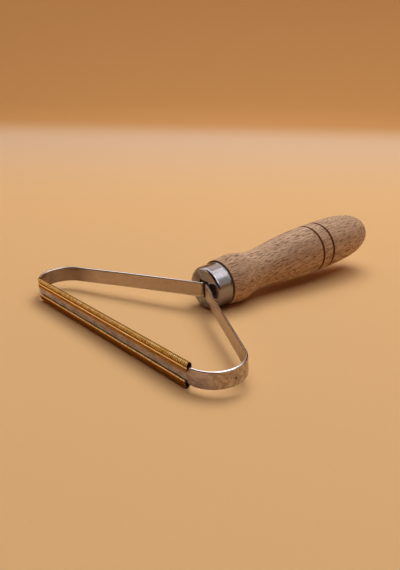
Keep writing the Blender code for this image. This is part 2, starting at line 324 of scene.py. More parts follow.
def rings_to_faces(rings, closed_loop):
    """Joins rings of point numbers; a ring of one point is a pole."""
    faces = []
    pairs = list(zip(rings, rings[1:]))
    if closed_loop:
        pairs.append((rings[-1], rings[0]))
    for near, far in pairs:
        count = max(len(near), len(far))
        for i in range(count):
            j = (i + 1) % count
            corners = [near[i % len(near)], near[j % len(near)]]
            corners += [far[j % len(far)], far[i % len(far)]]
            faces.append(tuple(dict.fromkeys(corners)))
    return faces


def turn(profile, around, wobble=0.0, closed_loop=False):
    """Turns (radius, distance) points about +Y. A radius may be a function of the angle."""
    points, rings = [], []
    for radius, distance in profile:
        if radius == 0.0:
            rings.append([len(points)])
            points.append((0.0, distance, 0.0))
            continue
        rings.append(list(range(len(points), len(points) + around)))
        for i in range(around):
            angle = 2 * math.pi * i / around
            reach = radius(angle) if callable(radius) else radius
            c, s = math.cos(angle), math.sin(angle)
            if wobble:
                skin = wander(c * WOBBLE_TURNS, s * WOBBLE_TURNS, distance / WOBBLE_LENGTH)
                reach -= wobble * (0.5 + 0.5 * skin)
            points.append((reach * c, distance, reach * s))
    return points, rings_to_faces(rings, closed_loop)


def radius_at(line, distance):
    """The outline's radius at a distance, between its points."""
    for (r0, d0), (r1, d1) in zip(line, line[1:]):
        if d1 <= distance <= d0:
            return r0 + (r1 - r0) * (d0 - distance) / (d0 - d1)
    return 0.0


def handle_outline():
    """The handle's turned outer line as (radius, distance), from its far end to its front rim."""
    end = (0.0, HANDLE_LENGTH)
    bulge = (BULGE_RADIUS, BULGE_AT)
    waist = (WAIST_RADIUS, WAIST_AT)
    shoulder = (SHOULDER_RADIUS, FACE_TO_SHOULDER)
    rim = (RIM_RADIUS + RIM_ROUND, 2 * RIM_ROUND)
    to_bulge = (0.0, BULGE_PULL_BACK * BULGE_TO_END)
    from_bulge = (0.0, -BULGE_PULL_AHEAD * WAIST_TO_BULGE)
    to_waist = (0.0, WAIST_PULL_BACK * WAIST_TO_BULGE)
    from_waist = (0.0, -WAIST_PULL_AHEAD * SHOULDER_TO_WAIST)
    to_shoulder = (0.0, SHOULDER_PULL * SHOULDER_TO_WAIST)
    pull = SHOULDER_PULL * FACE_TO_SHOULDER
    line = curve_run(end, (BULGE_RADIUS, 0.0), bulge, to_bulge, END_STEPS)
    line += curve_run(bulge, from_bulge, waist, to_waist, BULGE_STEPS)[1:]
    line += curve_run(waist, from_waist, shoulder, to_shoulder, WAIST_STEPS)[1:]
    line += curve_run(shoulder, (0.0, -pull), rim, (0.0, pull), SHOULDER_STEPS)[1:]
    line += arc((RIM_RADIUS, RIM_ROUND), RIM_ROUND, 0.0, -math.pi / 2, SMALL_ROUND_STEPS)
    return line


def with_grooves(line):
    """Cuts the two burned grooves into the outline, with softened edges."""
    half = GROOVE_WIDTH / 2
    reach = GROOVE_REACH * half * GROOVE_CLEAR
    for centre in GROOVES_AT:
        notch = []
        for i in range(GROOVE_STEPS + 1):
            side = GROOVE_REACH - 2 * GROOVE_REACH * i / GROOVE_STEPS
            depth = GROOVE_DEPTH * math.exp(-((side / GROOVE_EDGE) ** 4))
            place = centre + side * half
            notch.append((radius_at(line, place) - depth, place))
        before = [p for p in line if p[1] > centre + reach]
        after = [p for p in line if p[1] < centre - reach]
        line = before + notch + after
    return line


def make_handle(finish):
    """The turned handle, with its grooves, its front spigot and its blind bore."""
    front = -SPIGOT_LENGTH
    bore_end = BORE_END - HANDLE_FACE
    profile = with_grooves(handle_outline())
    profile += [
        (SPIGOT_RADIUS, 0.0),
        (SPIGOT_RADIUS, front + FERRULE_INNER_ROUND),
        (SPIGOT_RADIUS - FERRULE_INNER_ROUND, front),
        (BORE_RADIUS, front),
        (BORE_RADIUS, bore_end),
        (0.0, bore_end),
    ]
    profile = [(radius, distance + HANDLE_FACE) for radius, distance in profile]
    points, faces = turn(profile, AROUND_HANDLE, wobble=HANDLE_WOBBLE)
    return add_piece("turned_handle", points, faces, "handle", finish)


def slot_reach(angle, grow=0.0):
    """How far the ferrule's slot reaches from the axis in a direction."""
    width = (SLOT_HALF_WIDTH + grow) / max(abs(math.cos(angle)), 1e-6)
    height = (SLOT_HALF_HEIGHT + grow) / max(abs(math.sin(angle)), 1e-6)
    return min(width, height)


def make_ferrule(finish):
    """The ferrule: a cup with a rounded front edge, a slot in its face and a bead at its rear edge."""
    front, inner, bead = FERRULE_FRONT_ROUND, FERRULE_INNER_ROUND, FERRULE_BEAD
    edge, floor = SLOT_EDGE_ROUND, FERRULE_FRONT_WALL
    rear = FERRULE_LENGTH + FERRULE_BEAD_BACK
    quarter = math.pi / 2
    profile = []
    for i in range(SLOT_EDGE_STEPS + 1):
        a = quarter * i / SLOT_EDGE_STEPS
        grow = edge * (1 - math.cos(a))
        profile.append((lambda t, g=grow: slot_reach(t, g), edge * (1 - math.sin(a))))
    profile += arc((FERRULE_RADIUS - front, front), front, -quarter, 0.0, FERRULE_FRONT_STEPS)
    profile += [
        (FERRULE_RADIUS, rear - BEAD_FOOT_FROM),
        (FERRULE_RADIUS + BEAD_FOOT, rear - BEAD_FOOT_TO),
    ]
    bead_start = -BEAD_START * quarter
    profile += arc((FERRULE_RADIUS, rear - bead), bead, bead_start, quarter, BEAD_STEPS)
    profile += [(FERRULE_INNER + bead / 2, rear), (FERRULE_INNER, rear - bead / 2)]
    inner_centre = (FERRULE_INNER - inner, floor + inner)
    profile += arc(inner_centre, inner, 0.0, -quarter, SMALL_ROUND_STEPS)
    profile.append((slot_reach, floor))
    profile = [(radius, distance + HEAD_REACH) for radius, distance in profile]
    points, faces = turn(profile, AROUND_FERRULE, closed_loop=True)
    points = [(x, y, z - FERRULE_SEAT) for x, y, z in points]
    return add_piece("turned_ferrule", points, faces, "ferrule", finish)


def strap_half_path():
    """Mid-line of the strap's right half in plan: front, corner, arm, bend and tang."""
    corner = Vector((STRAIGHT_HALF, CORNER_RADIUS))
    meet = Vector((TANG_X, HEAD_REACH - TANG_BEND_AHEAD))
    reach = meet - corner
    leaving = math.atan2(reach.y, reach.x) - math.acos(CORNER_RADIUS / reach.length)
    bend_end = meet.y + TANG_BEND_RADIUS * math.tan(leaving / 2)
    front = [(STRAIGHT_HALF * i / FRONT_STEPS, 0.0) for i in range(FRONT_STEPS)]
    turning = arc(corner, CORNER_RADIUS, -math.pi / 2, leaving, CORNER_STEPS)
    bend_centre = (TANG_X + TANG_BEND_RADIUS, bend_end)
    bend = arc(bend_centre, TANG_BEND_RADIUS, math.pi + leaving, math.pi, BEND_STEPS)
    near, far = Vector(turning[-1]), Vector(bend[0])
    arm = [tuple(near.lerp(far, i / ARM_STEPS)) for i in range(1, ARM_STEPS)]
    back = BACK_TO - BACK_FROM
    tang = [(TANG_X, BACK_FROM + back * i / TANG_STEPS) for i in range(TANG_STEPS + 1)]
    return front + turning + arm + bend + tang + [(TANG_X, HEAD_REACH + TANG_LENGTH)]


def smooth_share(value, start, end):
    """0 before the start, 1 after the end, smooth between."""
    t = min(1.0, max(0.0, (value - start) / (end - start)))
    return t * t * (3 - 2 * t)


def stray(x, y):
    """How far the strap strays from its even shape at a place: to the side, and down."""
    inside = 1 - smooth_share(y, BACK_FROM, BACK_TO)
    aside = RIGHT_TANG_OFF * smooth_share(y, OFF_FROM, OFF_TO) * inside if x > 0 else 0.0
    sag = min(1.0, max(0.0, (y - SAG_FROM) / (SAG_TO - SAG_FROM)))
    return aside, ARM_SAG * sag * sag * inside


def strap_section():
    """The strap's section as (through its thickness, over its width) points, long edges rounded."""
    half, high, edge = STRAP_THICKNESS / 2, STRAP_WIDTH / 2, STRAP_EDGE_ROUND
    points = []
    corners = ((half, high, 0.0), (-half, high, 0.5), (-half, -high, 1.0), (half, -high, 1.5))
    for x, y, start in corners:
        centre = (x - math.copysign(edge, x), y - math.copysign(edge, y))
        points += arc(centre, edge, start * math.pi, (start + 0.5) * math.pi, EDGE_STEPS)
    return points


def make_strap(finish):
    """The strap: one rounded flat section swept along its path, both tangs included."""
    right = strap_half_path()
    even = [(-x, y) for x, y in reversed(right[1:])] + right
    path, sags = [], []
    for x, y in even:
        aside, sag = stray(x, y)
        path.append(Vector((x + aside, y)))
        sags.append(sag)
    section = strap_section()
    points, rings, along, across = [], [], [], []
    run = 0.0
    for i, here in enumerate(path):
        before, after = path[max(i - 1, 0)], path[min(i + 1, len(path) - 1)]
        run += (here - before).length
        ahead = ((here - before).normalized() + (after - here).normalized()).normalized()
        outward = Vector((ahead.y, -ahead.x))
        rings.append(list(range(len(points), len(points) + len(section))))
        for off, height in section:
            place = here + outward * off
            points.append((place.x, place.y, height - sags[i]))
            along.append(run / MM)
            across.append(math.copysign(SIDES_APART, off) + height / MM)
    faces = rings_to_faces(rings, False)
    faces += [tuple(reversed(rings[0])), tuple(rings[-1])]
    strap = add_piece("bent_strap", points, faces, "frame_strap", finish)
    add_values(strap, "along", along)
    add_values(strap, "across", across)
    return strap


def soften(points, reach):
    """Rounds the corners of an open line. A round takes up less than half of a stretch beside it."""
    line = [Vector(points[0])]
    for before, here, after in zip(points, points[1:], points[2:]):
        before, here, after = Vector(before), Vector(here), Vector(after)
        back, ahead = before - here, after - here
        start = here + back.normalized() * min(reach, back.length / FOLD_STRETCH)
        end = here + ahead.normalized() * min(reach, ahead.length / FOLD_STRETCH)
        for i in range(FOLD_STEPS + 1):
            t = i / FOLD_STEPS
            line.append(start.lerp(here, t).lerp(here.lerp(end, t), t))
    line.append(Vector(points[-1]))
    return line


def strip_line():
    """Mid-line of the folded strip's section as (across, up) points, from front lip to back lip."""
    lip_out = CROWN_RADIUS + LIP_FLARE
    corners = [
        (LIP_CURL - lip_out, LIP_END),
        (-lip_out, LIP_END + CURL_HEIGHT),
        (-lip_out, LIP_TOP),
        (-CROWN_RADIUS, LEG_END),
        (-CROWN_RADIUS, CROWN_HEIGHT),
    ]
    leg = soften(corners, FOLD_ROUND)
    crown = [Vector(p) for p in arc((0.0, CROWN_HEIGHT), CROWN_RADIUS, math.pi, 0.0, CROWN_STEPS)]
    other = [Vector((-p.x, p.y)) for p in reversed(leg)]
    return leg[:-1] + crown + other[1:]


def rib_share(place, seed):
    """How high a point along the strip lies on its rib: 1 on the crest, 0 in the valley."""
    phase = place / RIB_PITCH + RIB_DRIFT * wander(place / DRIFT_LENGTH, DRIFT_SEED, seed)
    wave = 0.5 + 0.5 * math.cos(2 * math.pi * phase)
    return wave ** RIB_FULLNESS


def make_strip(name, node, ends, lower, seed, finish):
    """A folded brass strip, ribbed on crown, legs and step; its lips are smooth and slightly wavy."""
    line = strip_line()
    last = len(line) - 1
    normals = []
    for i in range(len(line)):
        ahead = (line[min(i + 1, last)] - line[max(i - 1, 0)]).normalized()
        normals.append(Vector((-ahead.y, ahead.x)))
    ribbed = [min(1.0, max(0.0, (p.y - LIP_TOP + RIB_FADE / 2) / RIB_FADE)) for p in line]
    inside = list(range(0, last, 2)) + [last]
    outer = [(i, 1) for i in range(len(line))]
    inner = [(i, -1) for i in reversed(inside)]
    near, far = ends
    count = int((far - near) / RIB_PITCH * STEPS_PER_RIB)
    points, rings, rib, height = [], [], [], []
    for step in range(count + 1):
        x = near + (far - near) * step / count
        share = rib_share(x, seed)
        uneven = wander(x / DEPTH_LENGTH, seed, DEPTH_SEED)
        depth = RIB_DEPTH * (MEAN_DEPTH + DEPTH_SWING * uneven)
        long_sway = wander(x / LONG_SWAY, seed, LONG_SEED)
        short_sway = wander(x / SHORT_SWAY, seed, SHORT_SEED)
        sway = LIP_SWAY * (long_sway + 0.5 * short_sway)
        drop = LOWER_STRIP_DROP - LOWER_LIFT * (far - x) / (far - near)
        ring = []
        for i, side in outer + inner:
            off = STRIP_SHEET / 2 * side
            if side > 0:
                off -= depth * (1 - share) * ribbed[i]
            place = line[i] + normals[i] * off
            smooth = 1 - ribbed[i]
            across = place.x + math.copysign(sway, place.x) * smooth
            up = place.y + 0.5 * sway * smooth
            if lower:
                across, up = -across, -up - drop + 0.5 * (drop - LOWER_STRIP_DROP) * smooth
            ring.append(len(points))
            points.append((x, across, up))
            rib.append(share if side > 0 or i in (0, last) else -1.0)
            height.append((place.y - LIP_END) / MM)
        rings.append(ring)
    faces = rings_to_faces(rings, False)
    faces += strip_ends(rings, len(line), inside)
    strip = add_piece(name, points, faces, node, finish)
    add_values(strip, "rib", rib)
    add_values(strip, "height", height)
    return strip


def strip_ends(rings, outer_count, inside):
    """The cut ends of a folded strip, as short faces between its outer and inner lines."""
    faces = []
    inner_at = {number: outer_count + i for i, number in enumerate(reversed(inside))}
    for ring, flip in ((rings[0], True), (rings[-1], False)):
        for a, b in zip(inside, inside[1:]):
            corners = [ring[i] for i in range(a, b + 1)] + [ring[inner_at[b]], ring[inner_at[a]]]
            faces.append(tuple(reversed(corners)) if flip else tuple(corners))
    return faces


# Finishes


class Wire:
    """A shader value that can stand in sums and products; each step adds a Math node."""

    def __init__(self, tree, socket):
        self.tree = tree
        self.socket = socket

    def math(self, operation, first, second=None):
        """A Math node on one or two values."""
        sockets = {0: first} if second is None else {0: first, 1: second}
        return self.tree.node("Math", {"operation": operation}, sockets)

    def __add__(self, other):
        return self.math("ADD", self, other)

    def __sub__(self, other):
        return self.math("SUBTRACT", self, other)

    def __rsub__(self, other):
        return self.math("SUBTRACT", other, self)

    def __mul__(self, other):
        return self.math("MULTIPLY", self, other)

    def __abs__(self):
        return self.math("ABSOLUTE", self)

    __radd__ = __add__
    __rmul__ = __mul__

    def above(self, edge, soft):
        """0 below the edge, 1 above it, over a soft stretch."""
        sockets = {"Value": self, "From Min": edge - soft, "From Max": edge + soft}
        return self.tree.node("MapRange", {"interpolation_type": "SMOOTHSTEP"}, sockets)

    def below(self, edge, soft):
        """1 below the edge, 0 above it, over a soft stretch."""
        return 1.0 - self.above(edge, soft)


class Tree:
    """A node tree that is filled through one method."""

    def __init__(self, tree):
        self.tree = tree

    def feed(self, socket, value):
        """Links a wire to a socket, or sets its value."""
        if isinstance(value, Wire):
            self.tree.links.new(value.socket, socket)
        elif socket.type == "RGBA" and len(value) == 3:
            socket.default_value = (*value, 1.0)
        else:
            socket.default_value = value

    def node(self, kind, settings=None, sockets=None, output=0):
        """Adds a node: its settings first, then the values or links of its sockets."""
        node = self.tree.nodes.new("ShaderNode" + kind)
        for name, value in (settings or {}).items():
            setattr(node, name, value)
        for name, value in (sockets or {}).items():
            self.feed(node.inputs[name], value)
        return Wire(self, node.outputs[output])

    def mix(self, share, first, second):
        """A colour between two, by a share."""
        return self.node("Mix", {"data_type": "RGBA"}, {"Factor": share, 6: first, 7: second}, 2)


class Finish(Tree):
    """A procedural material of one of the tool's finishes."""

    def __init__(self, name, **constants):
        self.material = bpy.data.materials.new(name)
        self.material.use_nodes = True
        super().__init__(self.material.node_tree)
        self.shader = self.tree.nodes["Principled BSDF"]
        self.set(**constants)

    def set(self, **sockets):
        """Feeds the shader's sockets, their names with _ for a space."""
        for name, value in sockets.items():
            self.feed(self.shader.inputs[name.replace("_", " ")], value)

    def relief(self, height, distance, strength=1.0):
        """Feeds a height to the shader's normal."""
        sockets = {"Strength": strength, "Distance": distance, "Height": height}
        self.set(Normal=self.node("Bump", None, sockets))

    def place(self):
        """The point on the piece, in the head's frame, in millimetres."""
        spot = self.node("TexCoord", output="Object")
        sockets = {
            "Vector": spot,
            "Location": HEAD.translation,
            "Rotation": HEAD.to_euler(),
            "Scale": (MM, MM, MM),
        }
        return self.node("Mapping", {"vector_type": "TEXTURE"}, sockets)

    def vector(self, operation, first, second=(0.0, 0.0, 0.0), output="Vector"):
        """One step of vector maths."""
        return self.node("VectorMath", {"operation": operation}, {0: first, 1: second}, output)

    def along(self, vector, direction):
        """How far a point lies in a direction."""
        return self.vector("DOT_PRODUCT", vector, direction, "Value")

    def spread(self, x, y, z):
        """A point from three values."""
        return self.node("CombineXYZ", None, {0: x, 1: y, 2: z})

    def stored(self, name):
        """A number stored on the piece's points."""
        return self.node("Attribute", {"attribute_name": name}, None, "Fac")

    def clouds(self, vector, detail=2.0, rough=0.5, scale=1.0, distortion=0.0):
        """Smooth noise around 0.5."""
        sockets = {
            "Vector": vector,
            "Scale": scale,
            "Detail": detail,
            "Roughness": rough,
            "Distortion": distortion,
        }
        return self.node("TexNoise", None, sockets, "Fac")

    def cells(self, vector, scale, output="Distance"):
        """Scattered cells: how far a point lies from its cell's middle, or the cell's random colour."""
        sockets = {"Vector": vector, "Scale": scale}
        return self.node("TexVoronoi", {"feature": "F1"}, sockets, output)

    def away(self, spot, centre, reach=(1.0, 1.0, 1.0)):
        """How far a point lies from a centre, counted in a reach along each axis."""
        offset = self.vector("DIVIDE", self.vector("SUBTRACT", spot, centre), reach)
        return self.vector("LENGTH", offset, output="Value")

    def flecks(self, across, along, deep, size, rarity):
        """Elongated spots scattered in cells; the rarer they are, the fewer cells hold one."""
        spot = self.spread(across, along, deep)
        pick = self.along(self.cells(spot, 1.0, "Color"), (1.0, 0.0, 0.0))
        return self.cells(spot, 1.0).below(size, 0.12) * pick.above(rarity, 0.25)


def beech_wood():
    """Bare turned beech: growth bands, dark flecks along the grain, pores, burned grooves, and a front rim
    darkened partly by stain and partly by painted shade.
    """
    wood = Finish("beech_wood", IOR=1.45, Specular_IOR_Level=0.12)
    pale, tan, warm_patch = (0.70, 0.492, 0.333), (0.485, 0.311, 0.189), (0.54, 0.33, 0.20)
    pore, fine_fleck = (0.25, 0.13, 0.065), (0.20, 0.098, 0.044)
    long_fleck, short_fleck = (0.14, 0.065, 0.027), (0.09, 0.040, 0.016)
    dark_spot, burned, rim_stain_and_painted_shade = (0.10, 0.045, 0.02), (0.12, 0.028, 0.004), (0.11, 0.043, 0.016)

    # The log lay aslant to the handle: deep runs across its growth bands, flat along them
    spot = wood.place()
    y = wood.along(spot, (0.0, 1.0, 0.0))
    lean = math.radians(30.0)
    deep = wood.along(spot, (math.cos(lean), 0.0, math.sin(lean)))
    flat = wood.along(spot, (-math.sin(lean), 0.0, math.cos(lean)))
    bend = wood.clouds(wood.spread(flat * 0.05, y * 0.02, deep * 0.05), 1.0) - 0.5
    deep = deep + bend * 7.0
    flat = flat + bend * 4.0

    bands = wood.clouds(wood.spread(deep * 0.30, flat * 0.10, y * 0.014), 2.0, 0.6)
    streaks = wood.clouds(wood.spread(deep * 0.5, flat * 0.85, y * 0.035), 3.0, 0.65)
    patches = wood.clouds(wood.spread(deep * 0.1, flat * 0.1, y * 0.05), 1.0)
    tone = (bands * 0.5 + streaks * 0.5).above(0.5, 0.15)

    ragged = wood.clouds(wood.spread(flat * 1.6, y * 0.5, deep * 1.6), 2.0) - 0.5
    short = wood.flecks(flat * 2.3 + ragged * 0.3, y * 0.23 + ragged * 0.2, deep * 0.7, 0.30, 0.25)
    fine = wood.flecks(flat * 3.4 + ragged * 0.4, y * 0.15 + ragged * 0.2, deep, 0.36, 0.3)
    long = wood.flecks(flat * 1.3 + ragged * 0.3, y * 0.10, deep * 0.4, 0.25, 0.25)
    pores = wood.clouds(wood.spread(flat * 5.0, y * 0.40, deep * 5.0), 2.0, 0.6).above(0.56, 0.10)

    colour = wood.mix(tone, pale, tan)
    colour = wood.mix(patches.above(0.5, 0.25) * 0.25, colour, warm_patch)
    colour = wood.mix(pores * 0.34, colour, pore)
    colour = wood.mix(fine * 0.6, colour, fine_fleck)
    colour = wood.mix(long * 0.85, colour, long_fleck)
    colour = wood.mix(short * 0.95, colour, short_fleck)
    for centre, reach in WOOD_SPOTS:
        away = wood.away(spot, centre, reach) + ragged * 0.8
        colour = wood.mix(away.below(0.9, 0.35) * 0.85, colour, dark_spot)

    burn = 0.0
    for groove in GROOVES_AT:
        centre = (HANDLE_FACE + groove) / MM
        burn = burn + abs(y - centre + ragged * 0.3).below(0.80, 0.24)
    colour = wood.mix(burn * 0.95, colour, burned)
    # The front rim beside the ferrule is darkened: partly stain, partly painted shade where the wood meets
    # the ferrule
    rim = (y + ragged * 0.15).below(HANDLE_FACE / MM + 0.65, 0.35)
    colour = wood.mix(rim * 0.9, colour, rim_stain_and_painted_shade)

    wood.set(Base_Color=colour, Roughness=0.6 + short * 0.12 + (streaks - 0.5) * 0.15)
    wood.relief(1.0 - (short * 0.7 + fine * 0.3 + pores * 0.3), 0.05 * MM, 0.8)
    return wood.material


def polished_steel():
    """The ferrule's polished steel: faint turned lines, handling marks, a few fine scratches, and
    different greys on face and side wall as a painted reflection.
    """
    steel = Finish("polished_steel", Metallic=1.0)
    face_grey_painted_reflection, side_grey_painted_reflection = (0.36, 0.355, 0.41), (0.30, 0.275, 0.285)
    handled, scratched = (0.20, 0.17, 0.16), (0.14, 0.125, 0.12)
    spot = steel.place()
    y = steel.along(spot, (0.0, 1.0, 0.0))
    reach = steel.vector("LENGTH", steel.vector("MULTIPLY", spot, (1.0, 0.0, 1.0)), output="Value")
    turned = steel.clouds(steel.spread(y * 9.0, reach * 9.0, 0.0), 2.0, 0.6)
    smudge = steel.clouds(spot, 3.0, 0.55, 0.28, 0.6)
    scratch = steel.clouds(steel.spread(y * 0.5 + smudge * 2.0, reach * 7.0, y * 6.0), 1.0)
    scratch = scratch.above(0.68, 0.03)
    # Painted reflection: the face gets a lighter, bluer grey and the side wall a darker one, for how each
    # reflects the room
    side = reach.above(FERRULE_RADIUS / MM - 0.4, 0.2)
    tint = steel.mix(side, face_grey_painted_reflection, side_grey_painted_reflection)
    tint = steel.mix(smudge.above(0.5, 0.22) * 0.35, tint, handled)
    colour = steel.mix(scratch * 0.4, tint, scratched)
    rough = 0.08 + side * 0.09 + smudge.above(0.5, 0.25) * 0.06 + turned * 0.04
    steel.set(Base_Color=colour, Roughness=rough)
    steel.relief(turned * 0.12 + smudge * 0.6 - scratch * 0.2, 0.008 * MM, 0.5)
    return steel.material


def stainless_steel():
    """The strap's satin steel: mottled faces, fine lines, dark pits, edges painted bright as a painted
    highlight, painted dark reflections at the corners and along the right arm's edge.
    """
    steel = Finish("stainless_steel", Metallic=1.0)
    light_grey, brown_grey, cloudy = (0.58, 0.48, 0.415), (0.48, 0.385, 0.325), (0.58, 0.50, 0.475)
    ticked, lined = (0.38, 0.30, 0.26), (0.42, 0.34, 0.30)
    bend_dark_reflection, arm_brown = (0.25, 0.18, 0.145), (0.33, 0.255, 0.19)
    front_grey_painted_reflection, front_blotch = (0.57, 0.535, 0.665), (0.27, 0.225, 0.25)
    edge_painted_highlight, left_corner_edge_dark_reflection = (0.74, 0.70, 0.69), (0.25, 0.20, 0.18)
    right_arm_edge_dark_reflection, right_arm_outer_edge_dark_reflection, pitted = (0.36, 0.27, 0.24), (0.05, 0.03, 0.02), (0.07, 0.05, 0.045)

    spot = steel.place()
    run = steel.stored("along")
    across = steel.stored("across")
    height = steel.along(spot, (0.0, 0.0, 1.0))
    x = steel.along(spot, (1.0, 0.0, 0.0))
    y = steel.along(spot, (0.0, 1.0, 0.0))
    lines = steel.clouds(steel.spread(run * 0.06, across * 5.0, 0.0), 3.0, 0.65)
    ticks = steel.clouds(steel.spread(run * 1.3, across * 0.35, 7.0), 2.0, 0.6)
    mottle = steel.clouds(spot, 4.0, 0.65, 0.5, 0.5)
    cloud = steel.clouds(steel.spread(run * 0.06, across * 0.15, 4.0), 2.0)
    blotch = steel.clouds(steel.spread(run * 0.16, across * 0.4, 9.0), 3.0, 0.65).above(0.5, 0.09)
    tint = steel.mix(mottle.above(0.5, 0.3), light_grey, brown_grey)
    tint = steel.mix(cloud.above(0.5, 0.25) * 0.5, tint, cloudy)
    tint = steel.mix(ticks.above(0.58, 0.1) * 0.16, tint, ticked)
    tint = steel.mix(lines.above(0.62, 0.08) * 0.14, tint, lined)

    # Corners darkened as a painted dark reflection; the front painted greyer as a painted reflection, and
    # blotched; a browner end of the left arm
    bends = x.below(-57.0, 6.0) * 0.8 + x.above(58.0, 4.0) * mottle.above(0.48, 0.12) * 0.65
    tint = steel.mix(bends, tint, bend_dark_reflection)
    # Painted reflection: the front face is painted lighter and bluer than the rest of the strap
    front = y.below(3.0, 3.0)
    tint = steel.mix(front * (0.95 - cloud * 0.5), tint, front_grey_painted_reflection)
    tint = steel.mix(blotch * front * 0.6, tint, front_blotch)
    left_arm_end = y.above(44.0, 8.0) * x.below(2.0, 2.0)
    tint = steel.mix(left_arm_end * 0.35, tint, arm_brown)

    # Edges painted lighter as a painted highlight; painted dark reflection on them at the left corner and
    # along the right arm
    edge = abs(height).above(STRAP_WIDTH / MM / 2 - 0.32, 0.16)
    tint = steel.mix(edge, tint, edge_painted_highlight)
    tint = steel.mix(edge * x.below(-59.0, 5.0) * 0.65, tint, left_corner_edge_dark_reflection)
    right_arm_edge = edge * x.above(3.0, 2.0) * y.above(16.0, 8.0)
    tint = steel.mix(right_arm_edge * 0.5, tint, right_arm_edge_dark_reflection)
    tint = steel.mix(right_arm_edge * across.above(0.0, 0.5), tint, right_arm_outer_edge_dark_reflection)

    pits = steel.cells(spot, 0.22).below(0.055, 0.02)
    corner_pit = steel.away(spot, STRAP_PIT).below(0.62, 0.2)
    colour = steel.mix((pits + corner_pit) * 0.85, tint, pitted)
    rough = (0.24 + mottle.above(0.5, 0.2) * 0.10 + lines * 0.08) * (1.0 - edge * 0.6)
    steel.set(Base_Color=colour, Roughness=rough)
    steel.relief(lines * 0.4 + ticks * 0.5 + mottle - pits, 0.012 * MM, 0.6)
    return steel.material


def aged_brass():
    """The strips' brass: worn ribs over dark valleys, orange-brown lips, a painted highlight on the step,
    painted shade inside, at the back, in the fold and beside the step.
    """
    brass = Finish("aged_brass", Metallic=1.0, Specular_Tint=(1.0, 0.60, 0.25))
    gold, old_gold = (0.76, 0.50, 0.17), (0.54, 0.325, 0.087)
    bright_tick, chipped = (1.0, 0.86, 0.55), (0.26, 0.14, 0.04)
    valley_brown, valley_dark = (0.36, 0.195, 0.05), (0.20, 0.10, 0.023)
    back_painted_shade, lower_strip_painted_shade = (0.15, 0.065, 0.012), (0.40, 0.17, 0.03)
    fold_painted_shade, step_painted_highlight = (0.10, 0.052, 0.013), (1.0, 0.82, 0.46)
    orange, brown, beside_step_painted_shade = (0.54, 0.29, 0.08), (0.35, 0.165, 0.036), (0.09, 0.04, 0.01)
    lip_edge_painted_highlight, lower_lip_painted_shade = (1.0, 0.90, 0.58), (0.42, 0.15, 0.022)
    inside_painted_shade = (0.06, 0.03, 0.012)

    spot = brass.place()
    rib = brass.stored("rib")
    height = brass.stored("height")
    x = brass.along(spot, (1.0, 0.0, 0.0))
    y = brass.along(spot, (0.0, 1.0, 0.0))
    lower = brass.along(spot, (0.0, 0.0, 1.0)).below(0.0, 0.1)
    worn = brass.clouds(spot, 3.0, 0.6, 0.5)
    ticks = brass.clouds(brass.spread(x * 1.6, height * 0.7, 2.0), 3.0, 0.7)
    chips = brass.clouds(brass.spread(x * 0.62, height * 0.5, 9.0), 2.0, 0.7)
    beads = brass.clouds(brass.spread(x * 1.5, 3.0, 5.0), 1.0).above(0.48, 0.07)

    # Zones by height above the lip's end: lip, step, and the fold where the ribs begin
    lip_end = height.below(0.5, 0.15)
    lip = height.below(1.45, 0.12)
    step = height.above(1.42, 0.12) * height.below(1.95, 0.15)
    fold = height.above(1.97, 0.08) * height.below(2.5, 0.12)

    wear = worn.above(0.5, 0.2)
    crest = brass.mix(wear, gold, old_gold)
    crest = brass.mix(ticks.above(0.57, 0.06) * 0.75, crest, bright_tick)
    crest = brass.mix(chips.above(0.58, 0.06) * 0.6, crest, chipped)
    valley = brass.mix(wear, valley_brown, valley_dark)
    ribs = brass.mix(rib.above(0.40, 0.3), valley, crest)
    # Painted shade: the back half, the lower strip's ribs and the fold are darkened for how light falls on
    # them
    ribs = brass.mix(y.above(-0.30, 0.30) * 0.8, ribs, back_painted_shade)
    ribs = brass.mix(lower * 0.45, ribs, lower_strip_painted_shade)
    ribs = brass.mix(fold * 0.9, ribs, fold_painted_shade)
    # Painted highlight on the step's upward slope, weaker on the lower strip
    ribs = brass.mix(step * (0.95 - lower * 0.5), ribs, step_painted_highlight)

    lips = brass.mix(worn.above(0.5, 0.18), orange, brown)
    # Painted shade beside the step and on the lower lips; a beaded painted highlight on the lower lips'
    # top edges
    lips = brass.mix(height.above(1.1, 0.1) * 0.95, lips, beside_step_painted_shade)
    lips = brass.mix(lip_end * lower * (0.25 + beads * 0.75), lips, lip_edge_painted_highlight)
    lips = brass.mix(height.above(0.6, 0.1) * lower * 0.6, lips, lower_lip_painted_shade)

    colour = brass.mix(lip, ribs, lips)
    # Painted shade on the strips' inner faces, which lie against the strap
    colour = brass.mix(rib.below(-0.4, 0.3), colour, inside_painted_shade)
    brass.set(Base_Color=colour, Roughness=0.30 + wear * 0.10 + (1.0 - rib) * 0.12)
    brass.relief(ticks + worn, 0.02 * MM, 0.5)
    return brass.material


def hardened_adhesive():
    """The amber adhesive in the bore, cloudy with fine bubbles."""
    resin = Finish("hardened_adhesive", IOR=1.5)
    amber, dark_amber, milky = (0.70, 0.60, 0.38), (0.56, 0.45, 0.25), (0.82, 0.76, 0.60)
    spot = resin.place()
    cloud = resin.clouds(spot, 3.0, 0.5, 0.5)
    bubbles = resin.cells(spot, 1.6).below(0.16, 0.05)
    colour = resin.mix(cloud.above(0.5, 0.2), amber, dark_amber)
    colour = resin.mix(bubbles * 0.6, colour, milky)
    resin.set(Base_Color=colour, Roughness=0.35 + cloud * 0.2)
    resin.relief(cloud - bubbles, 0.05 * MM, 0.6)
    return resin.material


# Floor, light and camera


